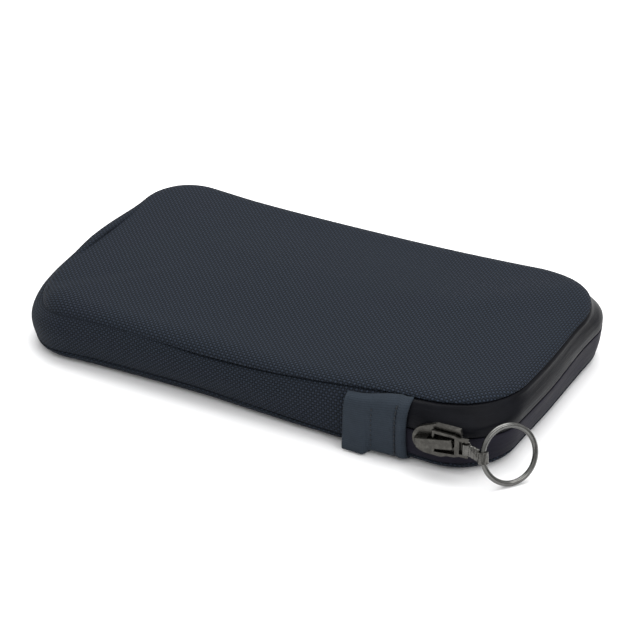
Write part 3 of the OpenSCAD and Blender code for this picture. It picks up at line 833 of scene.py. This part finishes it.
def tab_point(x, distance, share, side, free=0.0):
    """A point on a tab: at share of its height, at a distance out from the pouch's skin. free is 1 where
    its end hangs clear of the base's edge. side is -1 on the near side and 1 on the far side."""
    near = ALONG[0] - (TAPE_X - x)
    far = ALONG[N_FRONT] + (TAPE_X - x)
    section = edge_section(np.array([near if side < 0 else far]))
    falling = 1.8 * MM * smooth(FOLD_X - 6 * MM, FOLD_X - 24 * MM, x)
    high = float(LID_SEAM + section.seam_up[0] + 0.5 * MM - falling)
    low = 0.7 * MM
    z = low + (high - low) * share
    inset = float(skin(section, np.array([z]))[0][0])
    inset *= 1 - 0.85 * free * float(smooth(9 * MM, 4 * MM, z))
    fold_in = 0.7 * MM * math.sin(math.pi * share) * float(smooth(FOLD_X - 6 * MM, FOLD_X, x))
    tuck = 2.4 * MM * float(smooth(0.94, 1.0, share))
    tuck += 1.2 * MM * float(smooth(0.05, 0.0, share)) * (1 - free)
    return (x - fold_in, side * (HALF_W - inset + distance - tuck), z)


def make_tab(name, node, side, gap):
    """Ribbon tab folded at the zip's end. The near one's free end hangs past the seam."""
    low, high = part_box(node)
    path = tab_path(low.x, high.x - FOLD_BACK, gap, 0.25 * MM)
    s = np.concatenate([[0], np.cumsum([math.dist(a, b) for a, b in zip(path, path[1:])])])
    rows = []
    for share in np.linspace(0, 1, 24):
        row = []
        for number, (x, distance) in enumerate(path):
            outer = number >= len(path) - OUTER_COLUMNS
            free = float(smooth(low.x + 11 * MM, low.x + 9 * MM, x)) if outer and side < 0 else 0.0
            lift = 1.9 * MM * free * (1 - share) ** 1.5
            row.append(tab_point(x, distance + lift, share, side, free))
        rows.append(np.array(row if side < 0 else row[::-1]))
    obj = strip_object(name, rows, s if side < 0 else s[-1] - s[::-1])
    area = area_of(obj)
    subdivide(thicken(obj, 0.7 * MM, 0.0))
    finish_piece(obj, RIBBON, "pouch", [node])
    return obj, area


def stitches(name, places, side, gap, out, radius):
    """Short upright stitches on a tab. places are (x, low share, high share) of its height, and out is how far
    they stand off its outer layer's inside."""
    made = []
    for x, low, high in places:
        path = []
        for t in np.linspace(0, 1, 6):
            sunk = 0.35 * MM * abs(2 * t - 1) ** 3
            path.append(tab_point(x, gap + out - sunk, low + (high - low) * t, side))
        made.append(tube_object("stitch", path, radius, 6))
    return join(name, made)


def make_tabs():
    gap = 1.9 * MM
    for side, tab_name, node, stitch_node in ((-1, "label_ribbon", "label_tab", "label_tab_stitches"),
                                              (1, "plain_ribbon", "plain_tab", "plain_tab_stitches")):
        obj, area = make_tab(tab_name, node, side, gap)
        count = 11
        line_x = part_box(node)[1].x - FOLD_BACK - STITCH_BACK
        row = [(line_x, 0.1 + 0.82 * k / count, 0.1 + 0.82 * (k + 0.72) / count) for k in range(count)]
        thread = stitches(tab_name + "_stitches", row, side, gap, 0.85 * MM, 0.24 * MM)
        finish_piece(thread, THREAD, "pouch", [stitch_node])
    # A plain row of dashes stands where a label would carry its mark.
    x = FOLD_X - 16 * MM
    dashes = [(x, 0.16 + 0.09 * k, 0.2 + 0.09 * k) for k in range(8)]
    finish_piece(stitches("label_dashes", dashes, -1, gap, 1.15 * MM, 0.2 * MM), THREAD, "pouch")


# ---- Metal ----

METAL = (("slider_body", GUNMETAL, 0.4), ("slider_crown", GUNMETAL, 0.45), ("puller", GUNMETAL, 0.3),
         ("puller_link", LINK_METAL, 0.12), ("pull_ring", RING_METAL, 0.0), ("slider_lock_spring", STEEL, 0.05),
         ("zip_stop_near", STEEL, 0.2), ("zip_stop_far", STEEL, 0.2))


def dress_metal():
    """Plates the CAD's metal pieces and rounds their edges by the width given in mm."""
    for node, material, bevel in METAL:
        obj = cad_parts[node]
        obj.data.materials.clear()
        obj.data.materials.append(material)
        if bevel:
            modifier = obj.modifiers.new("edges", "BEVEL")
            modifier.width = bevel * MM
            modifier.segments = 3
            modifier.limit_method = "ANGLE"
            modifier.angle_limit = math.radians(40)


# ---- Stage, light and camera ----

def area_light(name, spot, aim, size, power):
    data = bpy.data.lights.new(name, "AREA")
    data.shape = "RECTANGLE"
    data.size, data.size_y = size
    data.energy = power
    obj = bpy.data.objects.new(name, data)
    bpy.context.scene.collection.objects.link(obj)
    obj.location = spot
    obj.rotation_euler = (Vector(aim) - Vector(spot)).to_track_quat("-Z", "Y").to_euler()


def make_world():
    """A studio tent, bright overhead and dimmer near the horizon, so that metal has something to mirror."""
    world = bpy.data.worlds.new("studio")
    bpy.context.scene.world = world
    world.use_nodes = True
    tree = world.node_tree
    parts = tree.nodes.new("ShaderNodeSeparateXYZ")
    tree.links.new(tree.nodes.new("ShaderNodeTexCoord").outputs["Generated"], parts.inputs[0])
    rise = tree.nodes.new("ShaderNodeMapRange")
    tree.links.new(parts.outputs["Z"], rise.inputs["Value"])
    for name, value in (("From Min", 0.0), ("From Max", 0.6), ("To Min", 0.25), ("To Max", 1.15)):
        rise.inputs[name].default_value = value
    background = tree.nodes["Background"]
    background.inputs["Color"].default_value = (1.0, 1.0, 1.0, 1)
    tree.links.new(rise.outputs[0], background.inputs["Strength"])


def make_stage():
    n = Nodes("white_floor")
    mottle = n.noise(n.position(), 3.0, 2.0)
    n.set(Base_Color=n.mix(mottle, (0.93, 0.93, 0.935, 1), (0.95, 0.95, 0.955, 1)), Roughness=0.7,
          Specular_IOR_Level=0.2)
    size = 6.0
    floor = new_object("floor", [(-size, -size, 0), (size, -size, 0), (size, size, 0), (-size, size, 0)],
                       [(0, 1, 2, 3)])
    floor.data.materials.append(n.material)
    make_world()
    area_light("softbox_over", (-0.1, 0.35, 1.1), (0, 0, 0), (1.2, 0.9), 12)
    area_light("softbox_right", (0.9, -0.3, 0.7), (0.05, 0, 0), (0.6, 0.6), 3)


def make_camera():
    data = bpy.data.cameras.new("camera")
    data.sensor_width = 36
    data.lens = 134
    data.clip_start = 0.01
    obj = bpy.data.objects.new("camera", data)
    bpy.context.scene.collection.objects.link(obj)
    spot = Vector((0.4129, -0.7578, 0.4965))
    target = Vector((-0.00834, 0.01911, 0.0))
    obj.location = spot
    obj.rotation_euler = (target - spot).to_track_quat("-Z", "Y").to_euler()
    bpy.context.scene.camera = obj


make_camera()
make_stage()
make_base()
make_side_wall()
make_lid()
make_tapes()
make_lid_inside()
make_coil("lower_zip_coil", "zip_coil_lower", "pouch", 1)
make_coil("upper_zip_coil", "zip_coil_upper", "flap", -1)
make_base_inside()
rolled_binding("base_binding", "base_seam_binding", "pouch")
rolled_binding("lid_binding_back", "lid_seam_binding_back", "pouch")
rolled_binding("lid_binding_flap", "lid_seam_binding_flap", "flap")
soft_sheet("document_pocket_cloth", "document_pocket", POCKET, 0.8 * MM)
soft_sheet("passport_pocket_cloth", "passport_pocket", LINING, 0.6 * MM)
soft_sheet("card_slot_cloth_1", "card_slot_1", POCKET, 0.3 * MM)
soft_sheet("card_slot_cloth_2", "card_slot_2", POCKET, 0.2 * MM)
soft_sheet("card_slot_cloth_3", "card_slot_3", POCKET, 0.1 * MM)
make_tabs()
dress_metal()
bpy.context.scene.view_settings.view_transform = "Standard"
